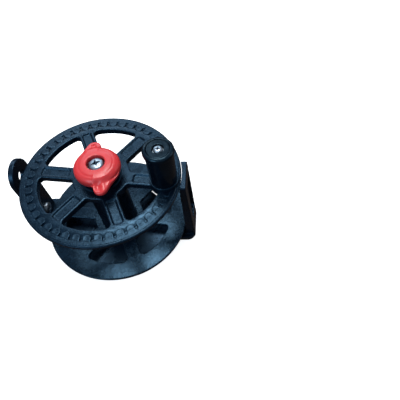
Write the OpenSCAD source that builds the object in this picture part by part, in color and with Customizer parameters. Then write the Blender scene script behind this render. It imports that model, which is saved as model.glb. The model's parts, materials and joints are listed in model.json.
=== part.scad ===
// Hand-wound line reel: a crank wheel and drum on an upright spindle, a red drag knob,
// a frame with a side mounting wall, and a guide arm with an eye for the line.
// Millimetres. +Z is up along the spindle, the origin is on its axis at the underside of
// the base, and +X points to the mounting wall.

/* [Spool] */
// Radius of the crank wheel and of the lower flange
flange_r = 48; // [44:0.5:48]
// Clear width between the lower flange and the wheel's hub
winding_w = 42.8; // [30:0.2:60]
// Thickness of the lower flange
flange_t = 2; // [1.5:0.1:3]
// Radius of the drum that the line is wound on
drum_r = 12.5; // [12:0.5:20]
// Number of spokes in each flange
spokes = 6; // [3:1:8]
// Azimuth of the first spoke
spoke_az = -5.5; // [-30:0.5:30]
// Width of a spoke of the crank wheel
spoke_w = 9; // [7:0.2:12]
// Width of a spoke of the lower flange
low_spoke_w = 9; // [7:0.2:12]

/* [Crank wheel] */
// Thickness of the wheel's outer rim
rim_t = 2.8; // [2:0.1:3.5]
// Depth of the spokes and of the ring's inner wall
spoke_t = 4; // [3.5:0.1:5]
// Inner radius of the wheel's ring
ring_in_r = 37.2; // [34:0.2:38]
// Outer radius of the band of finger teeth
band_out_r = 44.3; // [43:0.1:45]
// Inner radius of the band of finger teeth
band_in_r = 39.8; // [39.4:0.1:41]
// Number of finger teeth in the band
teeth = 44; // [24:2:48]
// Depth of the ground between the teeth
tooth_d = 0.9; // [0.4:0.1:1.2]
// Radius of the wheel's hub
hub_r = 17.2; // [13.6:0.2:18]

/* [Crank grip] */
// Radius of the grip's sleeve
grip_r = 8; // [7.6:0.1:8.2]
// Radius of the bead round the grip's top
grip_bead_r = 8.8; // [8.4:0.1:9.2]
// Length of the grip
grip_len = 25.6; // [20:0.2:40]
// Distance from the spindle to the grip's axis
grip_at_r = 38.5; // [37.5:0.1:38.7]
// Azimuth of the grip's axis
grip_az = -5.5; // [-8:0.5:2]

/* [Drag knob] */
// Radius of the knob's round body
knob_r = 13.5; // [12:0.5:15]
// Distance from the spindle to the end of each wing
wing_r = 19.8; // [18:0.2:22]
// Azimuth of the first wing
wing_az = 106; // [0:1:180]
// Height of the knob from its skirt to the dome's top
knob_h = 9.8; // [9.6:0.1:11]

/* [Frame] */
// Thickness of the base
base_t = 4; // [3.5:0.1:5]
// Radius of the base's round front
base_r = 43; // [30:1:44]
// Distance from the spindle to the straight edge that ends the base's front
base_back = 22; // [18:1:26]
// Radius of the base's round back
base_back_r = 32.5; // [26:0.5:40]
// Length of the mounting wall along Y
wall_w = 21.5; // [18:0.5:24]
// Height of the mounting wall
wall_h = 59.6; // [50:0.2:60]
// Gap between the wall and the turning flanges
wall_gap = 0.35; // [0.3:0.05:2]
// Spacing of the two mounting holes in the wall
mount_pitch = 20; // [16:1:24]
// Radius of the two mounting holes
mount_hole_r = 1.7; // [1.5:0.1:2.2]

/* [Guide arm] */
// Distance from the spindle to the arm's inner face
arm_at = 53; // [52:0.5:60]
// Offset of the arm's centre line along Y
arm_y = 6.3; // [-4:0.1:8]
// Width of the arm
arm_w = 21.6; // [18:0.2:24]
// Thickness of the arm
arm_t = 3.2; // [2.8:0.1:4]
// Height of the eye's centre
eye_z = 51.7; // [40:0.1:54]
// Radius of the eye
eye_r = 3.5; // [2.5:0.1:5]

/* [Hidden] */
$fn = 96;
eps = 0.01;

// Running clearance of a shaft in its bush, and the axial gap beside a turning part
run = 0.06;
gap = 0.3;

// Spindle: an M8 rod with a collar, clamped through the base
spindle_r = 4;
collar_r = 7.5;
boss_r = 13;
boss_z = 7.5;
collar_z = 9.7;
nut_af = 13;
nut_h = 4;
nut_z = 0.3;
washer_t = 0.9;

// Heights of the spool's pieces
bush_r = 5.5;
bush_flange_r = 6.6;
flange_z = collar_z + gap + 1.2;
drum_z = flange_z + flange_t;
hub_z = drum_z + winding_w;
wheel_z = hub_z + spoke_t;
hub_top = wheel_z + 0.5;
hub_boss_r = 11.5;
bolt_ring_r = 9.3;

// Heights of the drag stack on top of the hub
felt_t = 0.8;
press_z = hub_top + felt_t + 0.05;
press_t = 0.8;
spring_z = press_z + press_t;
spring_t = 0.5;
spring_rise = 0.6;
insert_z = spring_z + 2 * (spring_t + spring_rise);
insert_h = 3.1;
insert_r = 6.2;
knob_z = wheel_z + 2.8;
knob_top = knob_z + knob_h;
pocket_r = 5.4;
knob_side_h = 7;
wing_h = 6.2;
knob_under_h = 3.6;
skirt_r = 10.4;
wing_tip_r = 4;
knob_cavity_r = 8.8;
spindle_top = insert_z + insert_h + 0.5;

// Pan-head machine screws: [shank radius, head radius, head height]
m5 = [2.5, 4.6, 3.2];
m4 = [2, 3.9, 2.6];
m3 = [1.5, 2.6, 1.9];
wheel_screw = [1.3, 2.9, 1.8];
flange_screw = [1.3, 2.4, 1];
wheel_screw_depth = 2;

// Grip and its stack
seat_z = wheel_z + 2.8;
seat_r = 8.9;
seat_low = hub_z + 0.4;
grip_z = seat_z + gap;
grip_top = grip_z + grip_len;
grip_bush_r = 3.2;
collar_flange_r = 6.4;
collar_flange_z = grip_top - 4.1;
collar_flange_top = grip_top - 0.25;
screw_seat_z = grip_top - 2.5;
screw_seat_r = 3.3;
grip_washer_r = 3.1;
bead_round = 1.8;
grip_washer_t = 0.6;
grip_nut_h = 2.4;
grip_nut_z = wheel_z - rim_t + 0.1;
grip_nut_af = 5.5;

// Mounting wall: its inner face is a hollow curve round the flanges, and its outer face
// leans in from the foot to the top
wall_in_r = flange_r + wall_gap;
wall_top_x = 51;
wall_foot_x = 53.6;
wall_y = 0.75;
wall_corner = 0.8;
wall_heel = 5;
recess_w = 12;
recess_z = [15, 52];
recess_corner = 2;
recess_x = wall_in_r + 1.75;
recess_y = wall_y + 1.6;
mount_z = 33.5;
base_arm_w = 28;
base_corner = 5.5;

// The arm is screwed to an upright tab of the base, which stands behind it
tab_t = 3.2;
tab_w = 15;
tab_h = 20;
arm_screw_z = 13.5;
arm_back = arm_at + arm_t + tab_t;
arm_nut_h = 3.2;

module ring(r_out, r_in, h) {
    difference() {
        cylinder(r = r_out, h = h);
        translate([0, 0, -eps]) cylinder(r = r_in, h = h + 2 * eps);
    }
}

module hex(af, h) {
    cylinder(r = af / 2 / cos(30), h = h, $fn = 6);
}

// A pan-head cross-recess screw, its head's seat at z = 0 and its shank below
module pan_screw(size, length) {
    difference() {
        union() {
            translate([0, 0, -length]) cylinder(r = size[0], h = length);
            rotate_extrude() pan_profile(size[1], size[2]);
        }
        cross_recess(size[1], size[2]);
    }
}

// Half outline of a pan head: straight side, then an arc over to the axis
module pan_profile(r, h) {
    edge_h = h * 0.45;
    arc = [for (a = [0 : 10 : 90]) [r * cos(a), edge_h + (h - edge_h) * sin(a)]];
    polygon(concat([[0, 0], [r, 0]], arc));
}

module cross_recess(r, h) {
    for (a = [0, 90])
        rotate(a) translate([-r * 0.55, -r * 0.1, h * 0.45]) cube([r * 1.1, r * 0.2, h]);
    translate([0, 0, h * 0.3]) cylinder(r = r * 0.2, h = h);
}

// The windows between the spokes of a flange, with rounded corners
module windows(r_in, r_out, width, corner) {
    offset(r = corner) offset(delta = -corner) difference() {
        circle(r = r_out);
        circle(r = r_in);
        for (i = [0 : spokes - 1])
            rotate(spoke_az + 360 / spokes * i) translate([0, -width / 2]) square([r_out + 1, width]);
    }
}

module at_grip() {
    rotate(grip_az) translate([grip_at_r, 0, 0]) children();
}

module at_bolts(r) {
    for (i = [0 : 2])
        rotate(spoke_az + 60 + 120 * i) translate([r, 0, 0]) children();
}

// One end of the base, from the spindle's axis out to +X, with rounded corners
module base_end(reach) {
    c = base_corner;
    translate([0, -base_arm_w / 2]) square([reach - c, base_arm_w]);
    translate([0, c - base_arm_w / 2]) square([reach, base_arm_w - 2 * c]);
    for (side = [-1, 1])
        translate([reach - c, side * (base_arm_w / 2 - c)]) circle(r = c);
}

module base_outline() {
    intersection() {
        circle(r = base_r);
        translate([-base_r, -base_r]) square([2 * base_r, base_r + base_back]);
    }
    circle(r = base_back_r);
    translate([0, wall_y]) base_end(wall_foot_x);
    translate([0, arm_y]) mirror([1, 0]) base_end(arm_back);
}

// Outline of the wall seen along X, with clipped top corners and a clipped heel
module wall_outline() {
    front = wall_y - wall_w / 2;
    back = wall_y + wall_w / 2;
    polygon([[front, 0], [back - wall_heel, 0], [back - 2, wall_heel], [back, wall_h - wall_corner],
             [back - wall_corner, wall_h], [front + wall_corner, wall_h],
             [front, wall_h - wall_corner]]);
}

module wall() {
    difference() {
        intersection() {
            translate([0, wall_y + wall_w, 0]) rotate([90, 0, 0]) linear_extrude(2 * wall_w)
                polygon([[wall_in_r - 3, 0], [wall_foot_x, 0],
                         [wall_top_x, wall_h], [wall_in_r - 3, wall_h]]);
            translate([wall_in_r - 4, 0, 0]) rotate([90, 0, 90]) linear_extrude(10) wall_outline();
        }
        translate([0, 0, base_t]) cylinder(r = wall_in_r, h = wall_h);
    }
}

module wall_recess() {
    height = recess_z[1] - recess_z[0];
    c = recess_corner;
    translate([recess_x, recess_y, recess_z[0]]) rotate([90, 0, 90]) linear_extrude(10) {
        translate([-recess_w / 2 + c, 0]) square([recess_w - 2 * c, height]);
        translate([-recess_w / 2, c]) square([recess_w, height - 2 * c]);
        for (side = [-1, 1])
            for (z = [c, height - c])
                translate([side * (recess_w / 2 - c), z]) circle(r = c);
    }
}

// Upright that the guide arm is screwed to
module tab() {
    translate([-arm_back, arm_y, 0]) rotate([90, 0, 90]) linear_extrude(tab_t) {
        translate([-tab_w / 2, 0]) square([tab_w, tab_h - tab_w / 2]);
        translate([0, tab_h - tab_w / 2]) circle(r = tab_w / 2);
    }
}

module frame() {
    color([0.09, 0.13, 0.17]) difference() {
        union() {
            linear_extrude(base_t) base_outline();
            cylinder(r = boss_r, h = boss_z);
            wall();
            tab();
        }
        translate([0, 0, -eps]) cylinder(r = spindle_r, h = boss_z + 1);
        translate([0, 0, -eps]) hex(nut_af + 0.4, nut_z + nut_h + washer_t + eps);
        arm_screw_hole();
        wall_recess();
        for (s = [-1, 1])
            translate([wall_in_r - 2, recess_y, mount_z + s * mount_pitch / 2])
                rotate([0, 90, 0]) cylinder(r = mount_hole_r, h = 5);
    }
}

module arm_screw_hole() {
    translate([-arm_back - 1, arm_y, arm_screw_z]) rotate([0, 90, 0])
        cylinder(r = m4[0] + 0.1, h = arm_t + tab_t + 2);
}

module guide_arm() {
    color([0.08, 0.11, 0.15]) difference() {
        translate([-arm_at - arm_t, arm_y, 0]) rotate([90, 0, 90]) linear_extrude(arm_t) {
            translate([-arm_w / 2, base_t]) square([arm_w, eye_z - base_t]);
            translate([0, eye_z]) circle(r = arm_w / 2);
        }
        translate([-arm_at - arm_t - 1, arm_y, eye_z]) rotate([0, 90, 0])
            cylinder(r = eye_r, h = arm_t + 2);
        arm_screw_hole();
    }
}

module guide_arm_screw() {
    color("silver") translate([-arm_at, arm_y, arm_screw_z]) rotate([0, 90, 0])
        pan_screw(m4, arm_t + tab_t + arm_nut_h + 0.8);
}

module guide_arm_nut() {
    color("silver") translate([-arm_back, arm_y, arm_screw_z]) rotate([0, -90, 0]) difference() {
        hex(7, arm_nut_h);
        translate([0, 0, -eps]) cylinder(r = m4[0], h = arm_nut_h + 1);
    }
}

module spindle() {
    color("silver") difference() {
        union() {
            translate([0, 0, nut_z]) cylinder(r = spindle_r, h = spindle_top - nut_z);
            translate([0, 0, boss_z]) cylinder(r = collar_r, h = collar_z - boss_z);
        }
        translate([0, 0, spindle_top - 14]) cylinder(r = m5[0], h = 15);
    }
}

module spindle_washer() {
    color("silver") translate([0, 0, nut_z + nut_h]) ring(6.4, spindle_r, washer_t);
}

module spindle_nut() {
    color("silver") translate([0, 0, nut_z]) difference() {
        hex(nut_af, nut_h);
        translate([0, 0, -eps]) cylinder(r = spindle_r, h = nut_h + 1);
    }
}

module pressure_washer() {
    color("gainsboro") translate([0, 0, press_z]) ring(8.2, spindle_r, press_t);
}

// Two cupped spring washers, set rim to rim
module drag_springs() {
    r_in = spindle_r + 0.2;
    r_out = 8.2;
    cup = [[r_in, spring_rise], [r_out, 0], [r_out, spring_t], [r_in, spring_rise + spring_t]];
    color("gray") translate([0, 0, spring_z + spring_t + spring_rise])
        for (flip = [0, 1])
            mirror([0, 0, flip]) rotate_extrude() polygon(cup);
}

module knob_screw() {
    color("silver") translate([0, 0, spindle_top + washer_t]) pan_screw(m5, 12);
}

module knob_screw_washer() {
    color("silver") translate([0, 0, spindle_top]) ring(m5[1] + 0.4, m5[0], washer_t);
}

module lower_flange() {
    color([0.10, 0.16, 0.21]) difference() {
        translate([0, 0, flange_z]) cylinder(r = flange_r, h = flange_t);
        translate([0, 0, flange_z - 1])
            linear_extrude(flange_t + 2) windows(17, 36.5, low_spoke_w, 2.5);
        translate([0, 0, flange_z - 1]) cylinder(r = bush_r, h = flange_t + 2);
        at_bolts(bolt_ring_r) translate([0, 0, flange_z - 1]) cylinder(r = m3[0] + 0.1, h = 4);
    }
}

module drum() {
    color([0.09, 0.13, 0.17]) difference() {
        translate([0, 0, drum_z]) cylinder(r = drum_r, h = winding_w);
        translate([0, 0, drum_z - 1]) cylinder(r = bush_r, h = winding_w + 2);
        at_bolts(bolt_ring_r) {
            translate([0, 0, drum_z - 1]) cylinder(r = flange_screw[0], h = 11);
            translate([0, 0, hub_z - 10]) cylinder(r = wheel_screw[0], h = 11);
        }
        // Cross hole that the end of the line is tied into
        rotate(spoke_az + 30) translate([drum_r - 4, 20, drum_z + 14]) rotate([90, 0, 0])
            cylinder(r = 1, h = 40);
    }
}

// Outline of one finger tooth: round at its inner end, straight sides to its outer end
module tooth() {
    half = PI * (band_in_r + band_out_r) / 2 / teeth * 0.66;
    round_end = [for (a = [90 : 22.5 : 270]) [band_in_r + half + half * cos(a), half * sin(a)]];
    linear_extrude(wheel_z + 2)
        polygon(concat([[band_out_r + 1, -half], [band_out_r + 1, half]], round_end));
}

// Ground that is cut away between the teeth: it falls outward, then climbs to the rim
module tooth_ground() {
    difference() {
        rotate_extrude()
            polygon([[band_in_r - 0.2, wheel_z], [band_out_r - 0.8, wheel_z - tooth_d],
                     [band_out_r, wheel_z], [band_out_r, wheel_z + 1],
                     [band_in_r - 0.2, wheel_z + 1]]);
        for (i = [0 : teeth - 1])
            rotate(spoke_az + 360 / teeth * (i + 0.5)) tooth();
    }
}

module spoke_panel() {
    translate([hub_r + 2.5, -spoke_w / 2 + 1.6, wheel_z - 1])
        cube([ring_in_r - hub_r - 3.5, spoke_w - 3.2, 2]);
}

module crank_wheel() {
    rim_low = wheel_z - rim_t;
    color([0.11, 0.18, 0.24]) difference() {
        union() {
            rotate_extrude()
                polygon([[ring_in_r, hub_z], [ring_in_r + 1.8, hub_z], [ring_in_r + 2.4, rim_low],
                         [flange_r, rim_low], [flange_r, wheel_z - 0.7],
                         [flange_r - 0.7, wheel_z], [ring_in_r, wheel_z]]);
            translate([0, 0, hub_z]) linear_extrude(spoke_t) difference() {
                circle(r = ring_in_r + 0.4);
                windows(hub_r, ring_in_r, spoke_w, 2.5);
            }
            cylinder_at(hub_boss_r, hub_z, hub_top);
            at_grip() cylinder_at(seat_r, seat_low, seat_z);
        }
        translate([0, 0, hub_z - 1]) cylinder(r = bush_r, h = spoke_t + 3);
        at_bolts(bolt_ring_r) {
            translate([0, 0, hub_z - 1]) cylinder(r = m3[0] + 0.1, h = 8);
            translate([0, 0, hub_top - wheel_screw_depth]) cylinder(r = wheel_screw[1] + 0.2, h = 3);
        }
        difference() {
            union() {
                tooth_ground();
                for (i = [0 : spokes - 1])
                    rotate(spoke_az + 360 / spokes * i) spoke_panel();
            }
            at_grip() cylinder_at(seat_r, hub_z, seat_z + 1);
        }
        at_grip() {
            translate([0, 0, rim_low - 1]) cylinder(r = m3[0] + 0.05, h = 9);
            translate([0, 0, hub_z - 1])
                hex(grip_nut_af + 0.2, grip_nut_z + grip_nut_h + 0.1 - hub_z + 1);
        }
    }
}

module cylinder_at(r, z_low, z_high) {
    translate([0, 0, z_low]) cylinder(r = r, h = z_high - z_low);
}

module flange_screws() {
    color("silver") at_bolts(bolt_ring_r) translate([0, 0, flange_z]) rotate([180, 0, 0])
        pan_screw(flange_screw, 9);
}

module wheel_screws() {
    color("silver") at_bolts(bolt_ring_r) translate([0, 0, hub_top - wheel_screw_depth])
        pan_screw(wheel_screw, 9);
}

module flanged_bush(length) {
    difference() {
        union() {
            cylinder(r = bush_r, h = length);
            translate([0, 0, -1.2]) cylinder(r = bush_flange_r, h = 1.2);
        }
        translate([0, 0, -2]) cylinder(r = spindle_r + run, h = length + 4);
    }
}

module lower_bush() {
    color("goldenrod") translate([0, 0, flange_z]) flanged_bush(12);
}

module upper_bush() {
    color("goldenrod") translate([0, 0, hub_z - 8]) ring(bush_r, spindle_r + run, spoke_t + 8.5);
}

module friction_washer() {
    color("tan") translate([0, 0, hub_top]) ring(6.1, spindle_r + 0.4, felt_t);
}

module grip_bush() {
    color("silver") at_grip() difference() {
        union() {
            cylinder_at(grip_bush_r, seat_z, collar_flange_top);
            cylinder_at(collar_flange_r, collar_flange_z, collar_flange_top);
        }
        translate([0, 0, seat_z - 1]) cylinder(r = m3[0] + 0.05, h = grip_len);
        translate([0, 0, screw_seat_z]) cylinder(r = screw_seat_r, h = 4);
    }
}

module grip_screw() {
    color("silver") at_grip() translate([0, 0, screw_seat_z + grip_washer_t])
        pan_screw(m3, screw_seat_z + grip_washer_t - grip_nut_z);
}

module grip_washer() {
    color("silver") at_grip() translate([0, 0, screw_seat_z]) ring(grip_washer_r, m3[0], grip_washer_t);
}

module grip_nut() {
    color("silver") at_grip() translate([0, 0, grip_nut_z]) difference() {
        hex(grip_nut_af, grip_nut_h);
        translate([0, 0, -eps]) cylinder(r = m3[0], h = grip_nut_h + 1);
    }
}

// The grip: a sleeve with a round bead at its top and a counterbore for the bush's flange
module grip() {
    bore_r = grip_bush_r + run;
    mouth_r = collar_flange_r + gap;
    bead_z = grip_top - bead_round;
    profile = concat(
        [[bore_r, grip_z], [grip_r - 0.6, grip_z], [grip_r, grip_z + 0.6],
         [grip_r, bead_z - bead_round]],
        [for (a = [-30 : 15 : 90])
            [grip_bead_r + bead_round * (cos(a) - 1), bead_z + bead_round * sin(a)]],
        [[mouth_r, grip_top], [mouth_r, collar_flange_z - gap], [bore_r, collar_flange_z - gap]]);
    color([0.08, 0.12, 0.16]) at_grip() rotate_extrude() polygon(profile);
}

// One wing: a beak that leaves the round body along a tangent on one side only
module wing() {
    hull() {
        translate([wing_r - wing_tip_r, 0]) circle(r = wing_tip_r, $fn = 32);
        translate([knob_r - 7, 4]) circle(r = 6.2, $fn = 32);
    }
}

module knob_outline() {
    offset(r = -3) offset(r = 3) {
        circle(r = knob_r);
        rotate(wing_az) wing();
        rotate(wing_az + 180) wing();
    }
}

module drag_knob() {
    under_z = knob_z + knob_under_h;
    dome_low = knob_z + knob_side_h;
    rim_r = pocket_r + 0.9;
    dome_h = knob_h - knob_side_h;
    dome = [for (a = [0 : 10 : 90])
            [rim_r + (knob_r - rim_r) * cos(a), dome_low + dome_h * sin(a)]];
    color("crimson") difference() {
        union() {
            translate([0, 0, under_z]) linear_extrude(wing_h - knob_under_h) knob_outline();
            rotate_extrude()
                polygon(concat([[0, knob_z], [skirt_r, knob_z], [skirt_r, under_z], [knob_r, under_z]],
                               dome, [[0, knob_top]]));
        }
        translate([0, 0, knob_z - 1]) cylinder(r = knob_cavity_r, h = insert_z - knob_z + 1);
        translate([0, 0, insert_z - 1]) cylinder(r = insert_r, h = insert_h + 1);
        translate([0, 0, insert_z]) cylinder(r = pocket_r, h = knob_h);
    }
}

module knob_insert() {
    color("goldenrod") translate([0, 0, insert_z]) ring(insert_r, spindle_r + run, insert_h);
}

frame();
guide_arm();
guide_arm_screw();
guide_arm_nut();
spindle();
spindle_washer();
spindle_nut();
pressure_washer();
drag_springs();
knob_screw();
knob_screw_washer();
lower_flange();
drum();
crank_wheel();
flange_screws();
wheel_screws();
lower_bush();
upper_bush();
friction_washer();
grip_bush();
grip_screw();
grip_washer();
grip_nut();
grip();
drag_knob();
knob_insert();
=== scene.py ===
# %% [markdown]
# # A hand-wound line reel
# The reel is a spool on an upright spindle: a crank wheel on top, a drum, and a plain flange
# below. A red knob presses on the wheel as a drag, a grip turns the wheel, and the frame has
# a wall that screws to a rail and an arm with an eye for the line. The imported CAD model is
# the frame that every piece here is fitted to: it gives the place and size of each part, and
# this script gives the parts their moulded edges, their screws and their finishes.

# %% The frame
import bpy
import bmesh
import json
import math
import numpy as np
from mathutils import Matrix, Vector
from mathutils.geometry import tessellate_polygon

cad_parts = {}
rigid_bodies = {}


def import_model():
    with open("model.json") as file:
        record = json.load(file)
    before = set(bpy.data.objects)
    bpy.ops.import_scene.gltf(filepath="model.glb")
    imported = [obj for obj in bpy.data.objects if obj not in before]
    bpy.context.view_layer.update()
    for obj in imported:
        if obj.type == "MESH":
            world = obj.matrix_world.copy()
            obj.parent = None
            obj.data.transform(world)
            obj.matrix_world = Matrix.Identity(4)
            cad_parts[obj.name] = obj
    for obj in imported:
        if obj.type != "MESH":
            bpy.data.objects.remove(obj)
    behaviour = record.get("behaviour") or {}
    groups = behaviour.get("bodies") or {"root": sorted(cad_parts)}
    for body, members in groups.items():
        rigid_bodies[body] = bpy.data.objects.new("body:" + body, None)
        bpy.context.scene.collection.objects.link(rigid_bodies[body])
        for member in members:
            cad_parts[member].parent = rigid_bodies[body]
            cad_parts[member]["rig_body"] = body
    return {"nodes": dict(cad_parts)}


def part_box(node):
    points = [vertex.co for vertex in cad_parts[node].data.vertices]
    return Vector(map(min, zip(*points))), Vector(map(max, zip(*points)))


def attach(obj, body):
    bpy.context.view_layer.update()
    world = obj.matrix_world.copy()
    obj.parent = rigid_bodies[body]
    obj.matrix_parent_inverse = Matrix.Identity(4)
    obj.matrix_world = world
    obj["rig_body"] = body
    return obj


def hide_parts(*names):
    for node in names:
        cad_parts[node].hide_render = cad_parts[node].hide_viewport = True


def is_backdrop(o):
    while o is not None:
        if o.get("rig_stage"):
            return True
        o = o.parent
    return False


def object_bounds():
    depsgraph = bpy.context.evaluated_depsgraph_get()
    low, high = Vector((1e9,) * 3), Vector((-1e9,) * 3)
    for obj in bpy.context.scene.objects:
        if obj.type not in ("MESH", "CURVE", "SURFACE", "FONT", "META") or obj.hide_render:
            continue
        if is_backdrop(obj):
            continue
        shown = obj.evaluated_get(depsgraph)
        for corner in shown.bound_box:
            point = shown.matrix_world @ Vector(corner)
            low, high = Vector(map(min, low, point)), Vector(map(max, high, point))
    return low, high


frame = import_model()
cad_low, cad_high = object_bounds()
print("the reel measures", [round((b - a) * 1000, 1) for a, b in zip(cad_low, cad_high)], "mm")

# %% [markdown]
# ## Measures
# All modelling is done in millimetres and turned to metres when a mesh is made. The levels
# and radii come from the boxes of the CAD nodes, so a piece always meets its neighbours.

# %% Levels and radii read from the CAD nodes
MM = 0.001


def span(node, axis):
    low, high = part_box(node)
    return low[axis] / MM, high[axis] / MM


wheel_low, seat_high = span("crank_wheel", 2)
rim_r = span("crank_wheel", 1)[1]
flange_low, flange_high = span("lower_flange", 2)
drum_low, drum_high = span("drum", 2)
drum_r = span("drum", 1)[1]
grip_low, grip_high = span("grip", 2)
grip_x = sum(span("grip", 0)) / 2
grip_y = sum(span("grip", 1)) / 2
grip_r = (span("grip", 0)[1] - span("grip", 0)[0]) / 2
knob_low, knob_high = span("drag_knob", 2)
arm_inner = span("guide_arm", 0)[1]
arm_outer = span("guide_arm", 0)[0]
arm_foot, arm_top = span("guide_arm", 2)
arm_y = sum(span("guide_arm", 1)) / 2
arm_r = (span("guide_arm", 1)[1] - span("guide_arm", 1)[0]) / 2
wheel_top = wheel_low + 4.0
print("wheel top at", round(wheel_top, 2), "grip axis at", round(grip_x, 2), round(grip_y, 2))

# %% [markdown]
# ## Camera
# The reel is seen from in front and well above, as when it lies on a table and is looked
# down on. The camera is a short lens, so the near edge of the wheel looks clearly larger
# than the far edge.

# %% Camera
elevation, roll = math.radians(58.75), math.radians(-0.19)
back = Vector((0, -math.cos(elevation), math.sin(elevation)))
level = Vector((1, 0, 0))
up = Vector((0, math.sin(elevation), math.cos(elevation)))
right = level * math.cos(roll) + up * math.sin(roll)
above = up * math.cos(roll) - level * math.sin(roll)
lens = bpy.data.cameras.new("camera")
lens.sensor_width = 36
lens.lens = 33.408
lens.shift_x, lens.shift_y = -0.05, 0.025
lens.clip_start = 0.01
camera = bpy.data.objects.new("camera", lens)
camera.matrix_world = Matrix.Translation((0.07131, -0.13361, 0.23969)) @ Matrix(
    (right, above, back)).transposed().to_4x4()
bpy.context.scene.collection.objects.link(camera)
bpy.context.scene.camera = camera

# %% [markdown]
# ## Shader sums
# A finish is a small sum of noises. Written as Python expressions it reads like the sum it
# is: a Wire holds one socket, its operators add Math nodes, and one method adds any other
# node.

# %% Wires


class Wire:
    """One output socket of a material, which can be added, multiplied and so on."""

    def __init__(self, tree, socket):
        self.tree, self.socket = tree, socket

    def node(self, kind, settings, sockets, output=0):
        made = self.tree.nodes.new(kind)
        for name, value in settings.items():
            if name == "stops":
                steps = made.color_ramp.elements
                for place, colour in value[2:]:
                    steps.new(place)
                for step, (place, colour) in zip(steps, sorted(value)):
                    step.position, step.color = place, (*colour, 1)
            else:
                setattr(made, name, value)
        for name, value in sockets.items():
            if isinstance(value, Wire):
                self.tree.links.new(value.socket, made.inputs[name])
            else:
                made.inputs[name].default_value = value
        return Wire(self.tree, made.outputs[output])

    def math(self, operation, *values):
        settings = {"operation": operation, "use_clamp": False}
        return self.node("ShaderNodeMath", settings, dict(enumerate(values)))

    def __add__(self, other):
        return self.math("ADD", self, other)

    def __mul__(self, other):
        return self.math("MULTIPLY", self, other)

    def __sub__(self, other):
        return self.math("SUBTRACT", self, other)

    def __rsub__(self, other):
        return self.math("SUBTRACT", other, self)

    def __pow__(self, other):
        return self.math("POWER", self, other)

    __radd__, __rmul__ = __add__, __mul__

    def between(self, low, high):
        """0 below low, 1 above high, and a soft step from one to the other."""
        sockets = {"Value": self, "From Min": low, "From Max": high}
        settings = {"interpolation_type": "SMOOTHSTEP"}
        return self.node("ShaderNodeMapRange", settings, sockets)

    def tint(self, dark, light):
        """A colour that goes from dark to light as this value goes from 0 to 1."""
        sockets = {0: self, 6: (*dark, 1), 7: (*light, 1)}
        return self.node("ShaderNodeMix", {"data_type": "RGBA"}, sockets, 2)

    def stretched(self, x, y, z):
        """These coordinates, drawn out or squeezed along each axis."""
        settings = {"operation": "MULTIPLY"}
        return self.node("ShaderNodeVectorMath", settings, {0: self, 1: (x, y, z)})

    def noise(self, size_mm, detail=3, roughness=0.5, distortion=0.0):
        """Soft noise whose lumps are about size_mm across."""
        sockets = {"Vector": self, "Scale": 1 / (size_mm * MM), "Detail": detail,
                   "Roughness": roughness, "Distortion": distortion}
        return self.node("ShaderNodeTexNoise", {}, sockets)

    def bumps(self, distance_mm, strength=1.0, over=None):
        sockets = {"Height": self, "Distance": distance_mm * MM, "Strength": strength}
        if over is not None:
            sockets["Normal"] = over
        return self.node("ShaderNodeBump", {}, sockets)


def finish_named(name, constants):
    """A new material: its shader with constants set on it, and the wire of its coordinates."""
    material = bpy.data.materials.new(name)
    material.use_nodes = True
    tree = material.node_tree
    shader = tree.nodes["Principled BSDF"]
    for socket, value in constants.items():
        shader.inputs[socket].default_value = value
    coordinates = tree.nodes.new("ShaderNodeTexCoord")
    return material, shader, Wire(tree, coordinates.outputs["Object"])


def feed(shader, **wires):
    for name, wire in wires.items():
        wire.tree.links.new(wire.socket, shader.inputs[name.replace("_", " ")])


# %% [markdown]
# ## Moulded black plastic
# The frame, the drum, the wheel and the flange are glass-filled nylon, dyed black with a cold
# blue cast. It came from a polished mould, so it shines, but the fibres near the skin break
# the shine into a fine mottle, and handling leaves faint scuffs. Colour alone can't give
# that: the mottle has to be in the roughness and in a very shallow bump.

# %% Black plastics


def moulded(name, dark, light, gloss, mottle, sheen_tint):
    material, shader, place = finish_named(name, {
        "Specular Tint": (*sheen_tint, 1), "IOR": 1.5, "Specular IOR Level": 0.5})
    clouds = place.noise(7, 4, 0.6).between(0.35, 0.7)
    grain = place.noise(0.55, 3, 0.65)
    flecks = place.noise(1.6, 5, 0.7).between(0.52, 0.72)
    scuffs = place.stretched(1, 0.12, 0.6).noise(0.5, 4, 0.6).between(0.62, 0.74)
    tone = clouds * 0.5 + flecks * 0.35 + scuffs * 0.15
    rough = gloss + mottle * (grain - 0.5) + clouds * 0.08 + scuffs * 0.12
    sinks = place.noise(4, 2, 0.4).bumps(0.25, 0.35)
    skin = (grain + flecks * 0.6).bumps(0.045, 0.5, over=sinks)
    feed(shader, Base_Color=tone.tint(dark, light), Roughness=rough, Normal=skin)
    return material


black_plastic = moulded("black moulded plastic", (0.0010, 0.0035, 0.0090),
                        (0.0028, 0.0085, 0.0200), 0.26, 0.14, (0.30, 0.62, 1.0))
wheel_plastic = moulded("blue-black moulded plastic", (0.0011, 0.0042, 0.0100),
                        (0.0032, 0.0112, 0.0245), 0.23, 0.18, (0.30, 0.64, 1.0))
grip_plastic = moulded("polished black plastic", (0.0010, 0.0030, 0.0070),
                       (0.0025, 0.0070, 0.0150), 0.17, 0.07, (0.40, 0.75, 1.0))

# %% [markdown]
# ## Red plastic
# The knob is a soft, slightly translucent red. Thin edges let a little light through, so some
# scattering under the skin keeps it from looking painted. Fine wear dulls the high places.

# %% Red plastic


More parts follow.
